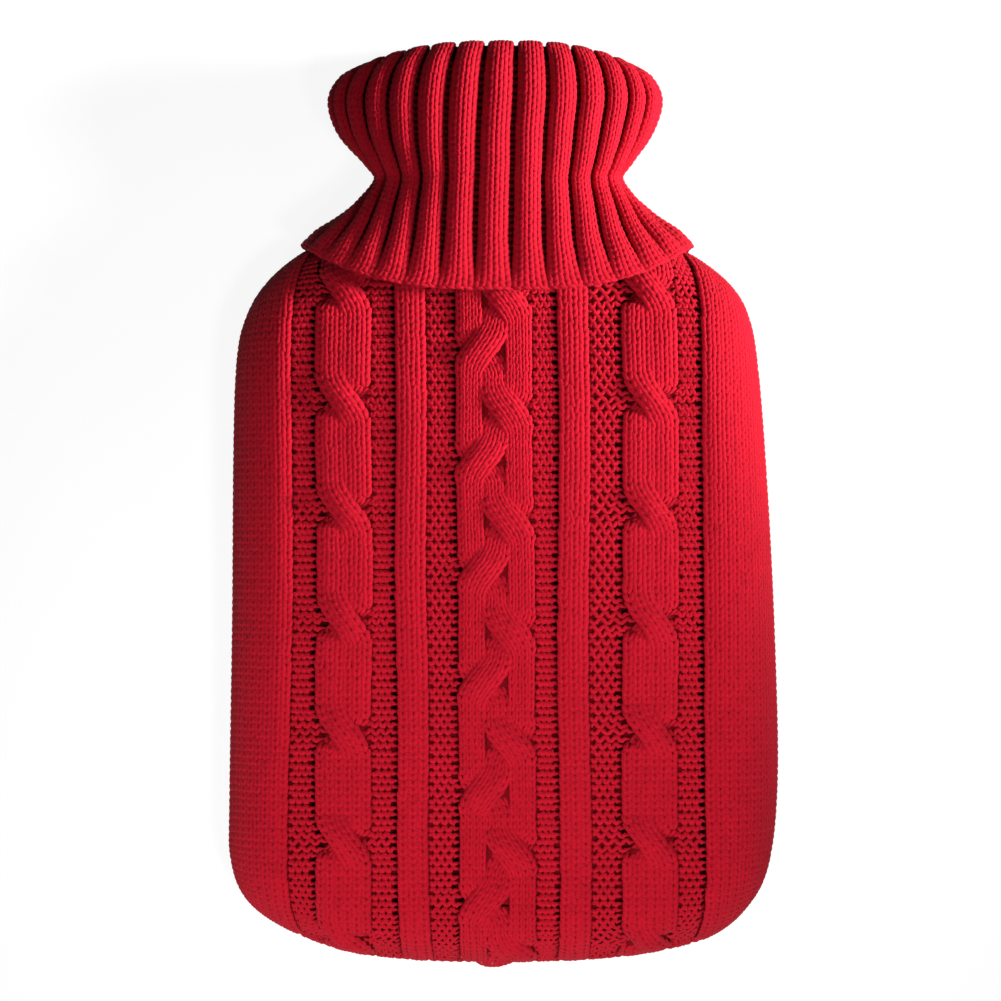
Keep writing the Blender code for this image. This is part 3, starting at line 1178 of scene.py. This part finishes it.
@dataclass
class FrontPanel:
    """The front: two rope cables, a plait and two ribs between plain sides, with purl gutters."""

    column: float = 3.45
    crossing_step: float = 41.0
    crossings: int = 8
    cable_start: float = 119.5
    plait_right_start: float = 115.8
    plait_left_start: float = 97.2
    plait_column: float = 2.40
    plait_columns: int = 4
    slot: str = "front_panel_yarn"

    def __post_init__(self) -> None:
        """Lays out the bands."""
        self.shape = PanelShape(Facing.UP, 22.0)
        self.cloth = self.shape.cloth()
        column = self.column
        self.left_side = Strand(-80.2 - 6.0 * column, 12, column, 1.8, 3, open_left=False, wander=0.6)
        self.right_side = Strand(75.6 + 7.0 * column, 14, column, -1.6, 4, open_right=False)
        self.left_rib = Strand(-32.6, 3, 3.70, -2.4, 5, wander=0.5, edge_drop=0.8)
        self.right_rib = Strand(26.9, 3, 3.72, -1.6, 6, wander=0.4, edge_drop=0.8)
        self.left_cable = self._cable(-59.4, 0.2, 7)
        self.right_cable = self._cable(54.4, -0.2, 8)
        self.plait = self._plait(-1.4, -2.6, 9)
        self.bands = (
            (self.left_side,),
            self.left_cable,
            (self.left_rib,),
            self.plait,
            (self.right_rib,),
            self.right_cable,
            (self.right_side,),
        )
        pairs = zip(self.bands, self.bands[1:])
        self.gutters = [Gutter(left, right, 40 + i) for i, (left, right) in enumerate(pairs)]

    def _cable(self, centre: float, lean: float, seed: int) -> tuple[Strand, ...]:
        """Plans a rope of two strands, the left one always crossing over.

        Args:
            centre: the rope's place across.
            lean: how far its top lies to the right.
            seed: what its wandering grows from.

        Returns:
            Its two strands.
        """
        half = 1.47 * self.column
        strands = []
        for which in (0, 1):
            moves = []
            for index in range(self.crossings):
                over = (index + which) % 2 == 0
                shift = 2 * half if over else -2 * half
                moves.append(Move(self.cable_start - index * self.crossing_step, shift, over))
            start = centre + (-half if which == 0 else half)
            strands.append(
                Strand(
                    start,
                    3,
                    self.column,
                    lean,
                    seed,
                    tuple(moves),
                    rope_centre=centre,
                    rope_half=half,
                )
            )
        return tuple(strands)

    def _plait(self, centre: float, lean: float, seed: int) -> tuple[Strand, ...]:
        """Plans a plait of three strands, whose middle one always crosses over an outer one.

        Args:
            centre: the plait's place across.
            lean: how far its top lies to the right.
            seed: what its wandering grows from.

        Returns:
            Its three strands.
        """
        step = 0.96 * self.plait_columns * self.plait_column
        moves: list[list[Move]] = [[], [], []]
        holders = [0, 1, 2]
        for index in range(self.crossings):
            for start, outer, way in ((self.plait_right_start, 2, 1), (self.plait_left_start, 0, -1)):
                height = start - index * self.crossing_step
                moves[holders[1]].append(Move(height, way * step, True))
                moves[holders[outer]].append(Move(height, -way * step, False))
                holders[1], holders[outer] = holders[outer], holders[1]
        strands = []
        for which in (0, 1, 2):
            strands.append(
                Strand(
                    centre + (which - 1) * step,
                    self.plait_columns,
                    self.plait_column,
                    lean,
                    seed,
                    tuple(moves[which]),
                    rope_centre=centre,
                    rope_half=step,
                    over_reach=9.6,
                    under_reach=9.0,
                    rise=1.9,
                    dip=1.3,
                    edge_drop=0.95,
                    over_spread=0.50,
                    under_spread=0.40,
                )
            )
        return tuple(strands)

    def relief(self, u: Array, v: Array) -> tuple[Array, Array]:
        """Finds the height and painted shade of the cloth behind the stitches.

        Args:
            u: places across.
            v: places along.

        Returns:
            The height and the painted shade at each place.
        """
        inside = np.zeros(u.shape)
        for band in self.bands:
            left = np.min([s.middle(v) - s.half * s.spread(v) for s in band], axis=0)
            right = np.max([s.middle(v) + s.half * s.spread(v) for s in band], axis=0)
            away = np.maximum(left - u, u - right)
            inside = np.maximum(inside, 1 - ease(away, -1.6, 0.3))
        edge = np.minimum(u - self.left_side.middle(v), self.right_side.middle(v) - u)
        inside = np.where(edge < 0, 1.0, inside)
        near_seam = 1 - ease(self.shape.from_seam(u, v), 2.0, 9.0)
        hollow = np.zeros(u.shape)
        for gutter in self.gutters:
            _, foot = gutter.edges(v)
            hollow = np.maximum(hollow, 1 - ease(np.abs(u - foot + 1.0), 0.6, 1.6))
        hollow = hollow * (1 - near_seam)
        height = -2.8 + 1.6 * inside - 2.4 * hollow + 0.8 * near_seam * (1 - inside)
        # Painted shade: the ground is lighter where it stands up under the bands and by the seam, and
        # near-black in the eyelet hollows at each band's foot.
        shade = 0.62 + 0.14 * np.maximum(inside, near_seam)
        return height, shade * (1 - 0.97 * hollow)

    def build(self) -> None:
        """Knits the panel and lays the cloth behind it."""
        knitter = Knitter(self.shape, self.cloth)
        yarn = WoolYarn("front_yarn").make()
        stitch = KnitStitch()
        rows = range(ROWS)
        groups = {
            "front_side_knit": (self.left_side, self.right_side),
            "front_cable_knit": (*self.left_cable, *self.right_cable),
            "front_plait_knit": (*self.plait, self.left_rib, self.right_rib),
        }
        for name, strands in groups.items():
            piece = Piece(name)
            for strand in strands:
                knitter.strand(piece, strand, stitch, rows, ROW)
            piece.build(yarn, self.slot)
        purl = Piece("front_purl_and_seam")
        for gutter in self.gutters:
            gutter.knit(purl, knitter)
        SideSeam().knit(purl)
        purl.build(yarn, self.slot)
        ground = PanelGround("front_ground", self.shape)
        sheet = ground.build(self.cloth, self.relief, ShadedInnerKnit("front_shaded_inner_knit"), self.slot)
        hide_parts("front_panel")


# ---------------------------------------------------------------- the seam


@dataclass
class SideSeam:
    """The overcast yarn that joins the two panels round the sides and the foot."""

    step: float = 1.1
    link: float = 3.3
    radius: float = 1.15
    swell: float = 0.38
    across: int = 8

    def knit(self, piece: Piece) -> None:
        """Works the seam.

        Args:
            piece: the piece that the seam joins.
        """
        outline = Outline()
        below = outline.line[:, 1] < 108.0
        line, inward = outline.line[below], outline.inward[below]
        length = np.linalg.norm(np.diff(line, axis=0), axis=1).sum()
        rows = resampled(np.hstack([line, inward]), int(length / self.step))
        run = np.arange(len(rows)) * self.step
        angle = np.radians(np.linspace(-115, 115, self.across))
        turn = 2 * math.pi * run[:, None] / self.link + 1.6 * angle[None]
        radius = self.radius + self.swell * np.sin(turn)
        out = -rows[:, 2:] / np.linalg.norm(rows[:, 2:], axis=1)[:, None]
        base = rows[:, :2] - out * (self.radius * 0.75)
        place = base[:, None] + out[:, None] * (radius * np.cos(angle)[None])[..., None]
        height = SEAM_HEIGHT + radius * np.sin(angle)[None] * 1.25
        points = np.concatenate([place, height[..., None]], axis=2)
        # Painted shade: darker between the turns of the overcast yarn.
        shade = 0.62 + 0.30 * np.sin(turn)
        yarn = yarn_places(run[:, None], angle[None], turn.shape)
        piece.add(points[None], shade[None], yarn[None], flip=True)


# ---------------------------------------------------------------- the back panel


@dataclass
class BackPanel:
    """The back: plain stocking stitch all over."""

    column: float = 3.6
    row: float = 2.8
    slot: str = "back_panel_yarn"

    def __post_init__(self) -> None:
        """Lays out the columns."""
        self.shape = PanelShape(Facing.DOWN, 17.0)
        self.cloth = self.shape.cloth()
        columns = 31
        half = columns * self.column / 2
        self.halves = [
            Strand(middle, columns, self.column, seed=21, open_left=False, open_right=False, wander=0.3)
            for middle in (-half, half)
        ]

    def relief(self, u: Array, v: Array) -> tuple[Array, Array]:
        """The even height and painted shade of the cloth behind the stitches."""
        return np.full(u.shape, -1.4), np.full(u.shape, 0.5)

    def build(self) -> None:
        """Knits the panel and lays the cloth behind it."""
        knitter = Knitter(self.shape, self.cloth)
        yarn = WoolYarn("back_yarn").make()
        stitch = KnitStitch(sections=4, across=4, radius=0.55, dive=0.5)
        for name, strand in zip(("back_left_knit", "back_right_knit"), self.halves):
            piece = Piece(name)
            knitter.strand(piece, strand, stitch, range(round(ROWS * ROW / self.row)), self.row)
            piece.build(yarn, self.slot)
        ground = PanelGround("back_ground", self.shape, side_rows=80, foot_columns=50, rings=9)
        sheet = ground.build(self.cloth, self.relief, ShadedInnerKnit("back_shaded_inner_knit"), self.slot)
        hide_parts("back_panel")


# ---------------------------------------------------------------- the roll neck


class NeckStation(NamedTuple):
    """A ring of the neck's cloth, through the middle of its thickness."""

    middle_y: float
    side_y: float
    left: float
    right: float
    side_z: float
    back: float
    front: float
    back_roundness: float
    front_roundness: float
    rib_turn: float  # how far round the front ribs lie apart, in degrees
    rib_shift: float  # how far round the middle rib lies, in degrees
    middle_extra: float  # how much wider the middle rib is, in degrees
    flare: float  # how far apart a rib's columns lie, against usual


NECK_STATIONS = (
    NeckStation(78.6, 95.4, 75.2, 70.6, 18.0, 1.7, 49.4, 4.6, 3.4, 10.6, -1.5, 0.6, 1.30),
    NeckStation(84.6, 99.5, 69.8, 65.8, 18.6, 1.8, 48.8, 4.4, 3.2, 10.8, -1.6, 0.6, 1.16),
    NeckStation(98.0, 107.0, 58.2, 54.2, 20.4, 2.2, 47.6, 3.8, 2.8, 12.2, -1.9, 1.2, 1.0),
    NeckStation(117.0, 119.5, 46.6, 43.0, 22.6, 2.4, 46.4, 3.0, 2.3, 14.6, -2.1, 1.9, 1.0),
    NeckStation(125.0, 127.5, 51.0, 46.8, 23.0, 2.4, 46.6, 2.9, 2.3, 13.6, -1.2, 1.4, 1.0),
    NeckStation(137.0, 138.0, 60.2, 54.0, 23.0, 2.4, 46.8, 2.7, 2.3, 12.2, 0.2, 0.6, 1.0),
    NeckStation(150.0, 149.0, 63.8, 57.6, 23.0, 2.6, 46.2, 2.6, 2.3, 11.8, 0.9, 0.3, 1.0),
    NeckStation(161.0, 156.5, 60.4, 54.8, 23.0, 3.8, 44.2, 2.5, 2.3, 12.0, 1.2, 0.2, 1.0),
    NeckStation(169.2, 161.6, 53.4, 49.0, 23.0, 6.0, 41.0, 2.4, 2.3, 12.4, 1.4, 0.2, 1.0),
)
NECK_JOINT = NeckStation(112.3, 112.3, 41.4, 38.9, 19.6, 6.6, 36.8, 3.0, 2.4, 14.6, -2.1, 0.6, 1.0)
HEM_SQUARENESS = 3.0
WAIST_STATION = 3


@dataclass
class RollNeck:
    """The ribbed neck, folded over once: an outer layer to a free hem, an inner one to the body."""

    ribs: int = 26
    per_rib: int = 8
    span_steps: int = 8
    fold_steps: int = 9
    layer_step: float = 4.2
    row: float = 2.5
    crest: float = 1.7
    groove: float = -2.3
    inner_run: float = 20.0
    table_step: float = 1.5
    ground_step: float = 2.4
    column_share: float = 0.272
    tuck: float = 0.80  # how far in the end of the inner layer lies, inside the panels
    slot: str = "roll_neck_yarn"

    def _ring(self, station: NeckStation) -> Array:
        """Draws one ring of the cloth.

        Args:
            station: the ring's sizes.

        Returns:
            Its points, from the middle of the back round the left side and the front.
        """
        half = self.ribs / 2
        k = np.linspace(-half, half, self.ribs * self.per_rib + 1)
        ends = 1 - (k / half) ** 2
        turn = station.rib_turn * k + (180 / half - station.rib_turn) * k * (k / half) ** 2
        turn = turn + (station.rib_shift + station.middle_extra * np.tanh(1.4 * k)) * ends
        turn = np.radians(turn)
        middle = (station.right - station.left) / 2
        x = middle + (station.right + station.left) / 2 * np.sin(turn)
        side = np.where(x > 0, station.right, station.left)
        across = np.clip(np.abs(x) / side, 0, 1)
        front = np.cos(turn) > 0
        power = np.where(front, station.front_roundness, station.back_roundness)
        up = (1 - across**power) ** (1 / power)
        reach = np.where(front, station.front, station.back) - station.side_z
        y = station.middle_y + (station.side_y - station.middle_y) * across**HEM_SQUARENESS
        return np.column_stack([x, y, station.side_z + up * reach])

    def _normals(self, rings: Array) -> Array:
        """Finds which way a stack of closed rings faces.

        Args:
            rings: the rings, one above another.

        Returns:
            The outward normal at each point.
        """
        wrapped = np.concatenate([rings[:, -2:-1], rings, rings[:, 1:2]], axis=1)
        around = wrapped[:, 2:] - wrapped[:, :-2]
        normals = np.cross(around, np.gradient(rings, axis=0))
        return normals / np.maximum(np.linalg.norm(normals, axis=2), 1e-9)[:, :, None]

    def _outer(self) -> tuple[Array, Array]:
        """Draws the outer layer, from the free hem to the fold.

        Returns:
            Its rings, and how far apart a rib's columns lie at each.
        """
        rows = smooth_line(NECK_STATIONS, self.span_steps)
        outer = np.array([self._ring(NeckStation(*row)) for row in rows])
        soft = np.hanning(7)[1:-1] / np.hanning(7)[1:-1].sum()
        for _ in range(2):
            wrapped = np.concatenate([outer[:, -3:-1], outer, outer[:, 1:3]], axis=1)
            outer = sum(w * wrapped[:, i : i + outer.shape[1]] for i, w in enumerate(soft))
        return outer, rows[:, -1]

    def _fold(self, edge: Array, before: Array, outward: Array) -> tuple[Array, Array]:
        """Turns the cloth over at its fold.

        Args:
            edge: the outer layer's last ring.
            before: the ring before it.
            outward: the way that the last ring faces.

        Returns:
            The fold's rings, and the ways that they face.
        """
        upward = edge - before
        upward -= (upward * outward).sum(1)[:, None] * outward
        upward /= np.linalg.norm(upward, axis=1)[:, None]
        angles = np.linspace(0, math.pi, self.fold_steps + 2)[1:-1]
        turned = [math.cos(angle) * outward + math.sin(angle) * upward for angle in angles]
        return np.array([edge + self.layer_step / 2 * (way - outward) for way in turned]), np.array(turned)

    def __post_init__(self) -> None:
        """Folds the cloth."""
        outer, flare = self._outer()
        outward = self._normals(outer)
        fold, turned = self._fold(outer[-1], outer[-2], outward[-1])
        waist = self.span_steps * WAIST_STATION
        inner = (outer - self.layer_step * outward)[: waist - 1 : -1]
        joint = self._ring(NECK_JOINT)
        between = (inner[-1] + joint) / 2
        toward = self._normals(np.array([*inner, between, joint]))
        centre = np.array([0.0, NECK_JOINT.middle_y, NECK_JOINT.side_z])
        tucked = centre + (joint - centre) * self.tuck
        points = np.array([*outer, *fold, *inner, between, joint, tucked])
        normals = np.array([*outward, *turned, *(-outward[: waist - 1 : -1]), *toward[-2:], toward[-1]])
        steps = np.linalg.norm(np.diff(points, axis=0), axis=2).mean(1)
        along = np.concatenate([[0], np.cumsum(steps)])
        self.fold_start = float(along[len(outer) - 1])
        self.fold_end = float(along[len(outer) + self.fold_steps])
        self.length = float(along[-1])
        self.vs = np.linspace(0, self.length, int(self.length / self.table_step) + 1)
        self.us = np.linspace(-self.ribs / 2, self.ribs / 2, self.ribs * self.per_rib + 1)
        self.cloth = Cloth(self.us, self.vs, self._even(along, points), 1.0)
        facing = self._even(along, normals)
        self.cloth.normals = facing / np.maximum(np.linalg.norm(facing, axis=2), 1e-9)[:, :, None]
        self.flares = np.interp(self.vs, along[: len(flare)], flare)

    def _even(self, along: Array, rings: Array) -> Array:
        """Spaces rings evenly along the cloth.

        Args:
            along: how far along the cloth each ring is.
            rings: the rings' points or normals.

        Returns:
            Their values at the table's places along.
        """
        flat = rings.reshape(len(rings), -1)
        even = np.stack([np.interp(self.vs, along, column) for column in flat.T], axis=1)
        return even.reshape(len(self.vs), *rings.shape[1:])

    def _profile(self, rib_share: Array, v: Array) -> Array:
        """The ribs' height.

        Args:
            rib_share: places across a rib, -0.5 to 0.5 from its middle.
            v: places along the cloth.

        Returns:
            The height above the middle of the cloth.
        """
        inside = ease(v, self.fold_start - 7.0, self.fold_start + 3.0)
        depth = self.groove * (0.25 + 0.75 * ease(v, 0.5, 10.0)) * (1 - 0.72 * inside)
        top = self.crest * (0.55 + 0.45 * ease(v, 0.0, 8.0)) * (1 - 0.80 * inside)
        rise = np.clip(np.cos(math.pi * np.clip(rib_share, -0.5, 0.5)), 0, 1) ** 0.50
        settled = 1.2 * ease(v, self.fold_end - 2.0, self.fold_end + 8.0)
        return depth + (top - depth) * rise + settled

    def _wrapped(self, k: Array) -> Array:
        """Places round the neck, brought back into its table."""
        half = self.ribs / 2
        return (k + half) % self.ribs - half

    def _knit(self, piece: Piece) -> None:
        """Works the raised columns of every rib.

        Args:
            piece: the piece that the stitches join.
        """
        chance = np.random.default_rng(91)
        stitch = KnitStitch(sections=4, across=5, width=0.30)
        sideways, along, height, painted_lit_tone, run = stitch.leg()
        rows = np.arange(0.55, (self.fold_end + self.inner_run) / self.row)
        ribs = np.arange(-self.ribs // 2, self.ribs // 2)
        columns = (-self.column_share, 0.0, self.column_share)
        rib, offset, row = (a.ravel() for a in np.meshgrid(ribs, columns, rows, indexing="ij"))
        loose = chance.normal(0, 0.03, (len(rib), 2))
        tone = 1 + chance.normal(0, 0.05, len(rib))
        for side in (-1, 1):
            v = (row[:, None, None] + along[None] + loose[:, :1, None]) * self.row
            v = np.clip(v, 0.1, None)
            flare = np.interp(v, self.vs, self.flares)
            share = offset[:, None, None] + side * sideways[None] * self.column_share
            share = (share + loose[:, 1:, None] * 0.1) * flare
            raised = self._profile(share / np.maximum(flare, 1) * 0.96, v) + height[None]
            points = self.cloth.at(self._wrapped(rib[:, None, None] + share), v, raised)
            # Painted shade: columns are darker towards the rib's grooves.
            edge = np.clip(np.cos(math.pi * np.clip(share / flare, -0.5, 0.5)), 0, 1) ** 0.7
            shade = painted_lit_tone[None] * tone[:, None, None] * (0.45 + 0.55 * edge)
            piece.add(points, shade, yarn_places(side * run, side * sideways, v.shape))

    def _bars(self, piece: Piece) -> None:
        """Works the sunken rungs in the grooves, near-black with painted shade.

        Args:
            piece: the piece that the rungs join.
        """
        rows = np.arange(2.0, (self.fold_start - 4.0) / self.row)
        ribs = np.arange(-self.ribs // 2, self.ribs // 2)
        rib, row = (a.ravel() for a in np.meshgrid(ribs, rows, indexing="ij"))
        share = np.linspace(-0.13, 0.13, 4)
        angle = np.radians(np.linspace(-80, 80, 4))
        across = 0.5 + share[None, :, None] + 0.0 * angle[None, None, :]
        v = row[:, None, None] * self.row + 0.7 * np.sin(angle)[None, None, :] + 0.0 * across
        sunk = self._profile(np.full(v.shape, 0.5), v) + 0.1 + 0.55 * np.cos(angle)[None, None, :]
        points = self.cloth.at(self._wrapped(rib[:, None, None] + across), v, sunk)
        # Painted shade: the rungs are near-black.
        piece.add(points, np.full(v.shape, 0.10))

    def _hem(self, piece: Piece) -> None:
        """Works the chain that closes off the free hem.

        Args:
            piece: the piece that the chain joins.
        """
        chance = np.random.default_rng(93)
        links = self.ribs * 4
        along = np.linspace(0, 1, 6)
        fullness = np.sin(math.pi * (0.1 + 0.8 * along)) ** 0.5
        shift, height, painted_lit_tone = half_tube(along, 0.85 * fullness, fullness, 6, 100.0)
        start = (np.arange(links) / 4 - self.ribs / 2)[:, None, None]
        for side in (0, 1):
            k = start + (along[None, :, None] * 1.35 - 0.15) / 4 + 0 * shift[None]
            lean = 0.55 * (along[None, :, None] - 0.5) * (1 if side else -1)
            v = 0.2 + 1.5 * side + lean + shift[None] + chance.normal(0, 0.08, (links, 1, 1))
            rise = self._profile(self._share(k), np.maximum(v, 0)) * 0.8 + height[None] - 0.35
            points = self.cloth.at(self._wrapped(k), np.maximum(v, 0), rise)
            extra = np.minimum(v, 0)[..., None] * self._down(k)
            piece.add(points - extra, painted_lit_tone[None] * 0.95)

    def _share(self, k: Array) -> Array:
        """Where places round the neck lie across their ribs, -0.5 to 0.5."""
        return (k + 0.5) % 1.0 - 0.5

    def _down(self, k: Array) -> Array:
        """Finds the way from the hem down off the cloth.

        Args:
            k: places round the neck, in ribs.

        Returns:
            The way at each place.
        """
        way = self.cloth.points[0] - self.cloth.points[1]
        way /= np.linalg.norm(way, axis=1)[:, None]
        place = self._wrapped(k)
        return np.stack([np.interp(place, self.us, way[:, c]) for c in range(3)], axis=-1)

    def _ground(self) -> Piece:
        """Makes the folded cloth behind the stitches.

        Returns:
            A piece that holds one closed tube.
        """
        piece = Piece("neck_ground")
        k = np.linspace(-self.ribs / 2, self.ribs / 2, self.ribs * 6 + 1)
        v = np.linspace(0, self.length, int(self.length / self.ground_step) + 1)
        across, along = np.meshgrid(k, v)
        rise = self._profile(self._share(across), along) - 0.7
        # Painted shade: the ground is near-black in the grooves and lighter under the ribs, and its inner
        # face is half as bright.
        shade = 0.10 + 0.5 * np.clip(np.cos(math.pi * self._share(across)), 0, 1) ** 1.5
        shade = np.where(along > self.fold_end + 6, 0.6, shade)
        outer = self.cloth.at(across, along, rise)
        inner = self.cloth.at(across, along, rise - 1.3)
        loop = np.concatenate([outer, inner[::-1], outer[:1]])
        shades = np.concatenate([shade, shade[::-1] * 0.5, shade[:1]])
        piece.add(loop[None], shades[None])
        return piece

    def build(self) -> None:
        """Knits the neck and lays the cloth behind it."""
        yarn = WoolYarn("neck_yarn").make()
        ribs = Piece("neck_rib_knit")
        self._knit(ribs)
        details = Piece("neck_groove_and_hem")
        self._bars(details)
        self._hem(details)
        made = [ribs.build(yarn, self.slot), details.build(yarn, self.slot)]
        sheet = welded(self._ground().build(ShadedInnerKnit("neck_shaded_inner_knit").make(), self.slot))
        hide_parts("roll_neck")


# ---------------------------------------------------------------- the studio


class Lamp(NamedTuple):
    """A square soft light."""

    name: str
    place: tuple[float, float, float]  # in metres
    aim: tuple[float, float, float]  # in metres
    power: float  # in watts
    size: float  # its side, in metres
    spread: float  # how wide its beam is, in degrees


@dataclass
class Studio:
    """White paper, soft lights, and a camera that looks straight down, all in metres."""

    view_width: float = 0.3724
    view_height: float = 2.2
    subject_height: float = 0.035
    view_centre: tuple[float, float] = (-0.0011, 0.0002)
    paper_side: float = 12.0
    paper_gap: float = 0.0015
    sensor: float = 36.0
    lamps: tuple[Lamp, ...] = (
        Lamp("collar_light", (1.10, 0.16, 0.37), (0.0, 0.17, 0.03), 0.80, 0.28, 20.0),
        Lamp("body_light", (1.05, 0.0, 0.85), (0.0, -0.10, 0.03), 0.075, 0.40, 36.0),
        Lamp("front_light", (0.35, -0.40, 1.10), (0.01, -0.10, 0.04), 0.20, 0.36, 19.0),
        Lamp("foot_light", (-0.55, -0.85, 0.75), (-0.02, -0.15, 0.03), 0.14, 0.30, 18.0),
    )
    room_light: float = 0.045
    room_colour: tuple[float, float, float, float] = (1.0, 0.98, 0.97, 1.0)

    def _lay_paper(self) -> None:
        """Lays the paper just under the cover."""
        half = self.paper_side / 2
        corners = [(-half, -half, 0), (half, -half, 0), (half, half, 0), (-half, half, 0)]
        mesh = bpy.data.meshes.new("paper")
        mesh.from_pydata(corners, [], [(0, 1, 2, 3)])
        mesh.materials.append(StudioPaper().make())
        paper = bpy.data.objects.new("paper", mesh)
        paper.location = (0, 0, FRAME_BOX[0][2] - self.paper_gap)
        bpy.context.scene.collection.objects.link(paper)
        paper.visible_diffuse = False

    def _hang(self, lamp: Lamp) -> None:
        """Hangs one square soft light.

        Args:
            lamp: its place, aim, power, size and beam.
        """
        light = bpy.data.lights.new(lamp.name, "AREA")
        light.energy = lamp.power
        light.size = lamp.size
        light.spread = math.radians(lamp.spread)
        item = bpy.data.objects.new(lamp.name, light)
        item.location = lamp.place
        way = Vector(lamp.aim) - Vector(lamp.place)
        item.rotation_euler = way.to_track_quat("-Z", "Y").to_euler()
        bpy.context.scene.collection.objects.link(item)

    def _light_room(self) -> None:
        """Fills the room with a little even light."""
        world = bpy.data.worlds.new("room")
        bpy.context.scene.world = world
        world.use_nodes = True
        background = world.node_tree.nodes["Background"]
        background.inputs["Color"].default_value = self.room_colour
        background.inputs["Strength"].default_value = self.room_light

    def _set_camera(self) -> None:
        """Hangs the camera over the cover."""
        lens = bpy.data.cameras.new("camera")
        lens.sensor_width = self.sensor
        lens.lens = self.sensor * (self.view_height - self.subject_height) / self.view_width
        camera = bpy.data.objects.new("camera", lens)
        camera.location = (*self.view_centre, self.view_height)
        bpy.context.scene.collection.objects.link(camera)
        bpy.context.scene.camera = camera

    def build(self) -> None:
        """Sets out the paper, the lights and the camera."""
        self._lay_paper()
        for lamp in self.lamps:
            self._hang(lamp)
        self._light_room()
        self._set_camera()
        bpy.context.scene.view_settings.view_transform = "Standard"


def main() -> None:
    """Builds the cover piece by piece, then the studio round it."""
    logging.basicConfig(level=logging.INFO, format="%(message)s")
    Studio().build()
    FrontPanel().build()
    BackPanel().build()
    RollNeck().build()


if __name__ == "__main__":
    main()
